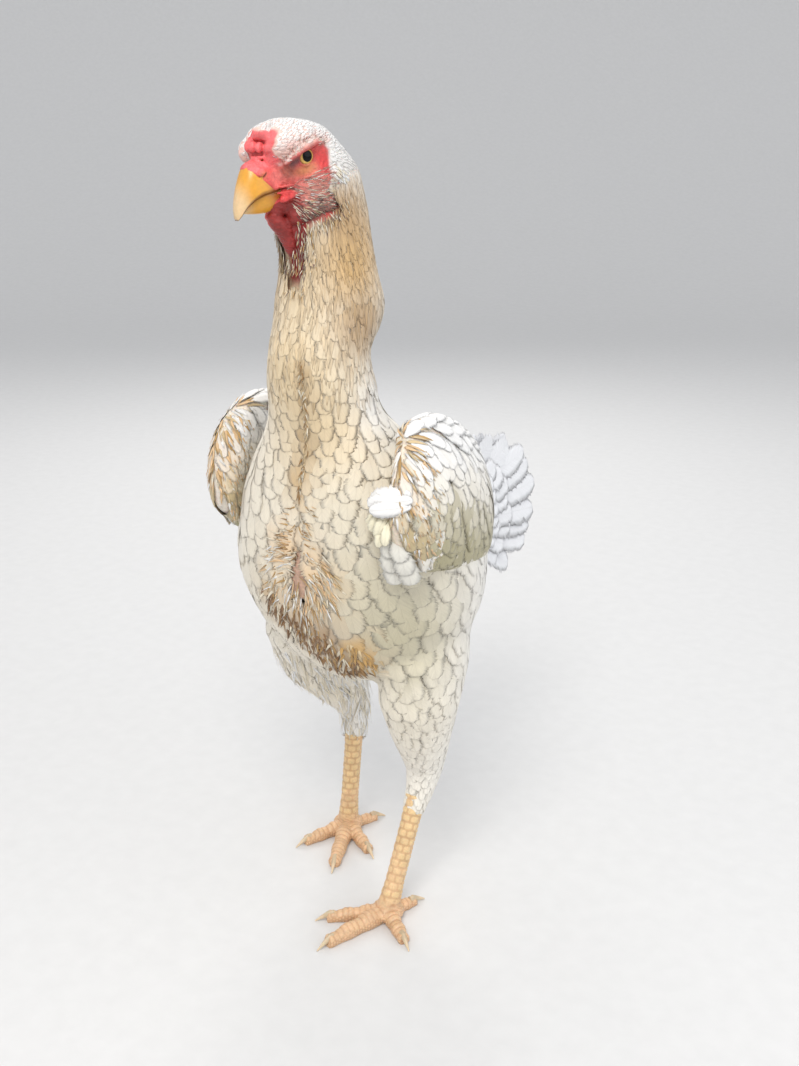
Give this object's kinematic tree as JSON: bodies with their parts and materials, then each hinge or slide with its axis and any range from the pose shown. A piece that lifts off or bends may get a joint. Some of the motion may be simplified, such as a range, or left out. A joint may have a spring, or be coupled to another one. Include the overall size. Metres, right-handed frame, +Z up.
{
  "type": "shamo chicken",
  "caption": "Standing game fowl of a tall, upright breed, as a still life-size display model with folded wings and a turned head.",
  "frame": {"origin": "middle of the whole model's box at floor level, between the feet", "axes": "+Z up, the bird faces -Y, +X is the bird's left"},
  "size_m": [0.2218, 0.3672, 0.6131],
  "materials": {
    "plumage": "soft, matt feathers",
    "flight_feathers": "smooth, faintly glossy vanes",
    "face_skin": "bare wrinkled skin, slightly moist",
    "leg_scales": "horny scales, satin",
    "claw_horn": "worn horn",
    "horn": "smooth horn, satin",
    "eye": "wet gloss"
  },
  "bodies": {
    "root": {"head": "plumage", "neck_upper": "plumage", "neck_lower": "plumage", "torso": "plumage", "tail": "flight_feathers", "wing_left": "flight_feathers", "wing_right": "flight_feathers", "thigh_left": "plumage", "thigh_right": "plumage", "shank_left": "leg_scales", "shank_right": "leg_scales", "foot_left": "leg_scales", "foot_right": "leg_scales", "claw_left_inner": "claw_horn", "claw_left_middle": "claw_horn", "claw_left_outer": "claw_horn", "claw_left_hind": "claw_horn", "claw_right_inner": "claw_horn", "claw_right_middle": "claw_horn", "claw_right_outer": "claw_horn", "claw_right_hind": "claw_horn", "beak_upper": "horn", "beak_lower": "horn", "comb": "face_skin", "dewlap": "face_skin", "eye_left": "eye", "eye_right": "eye"}
  },
  "joints": []
}
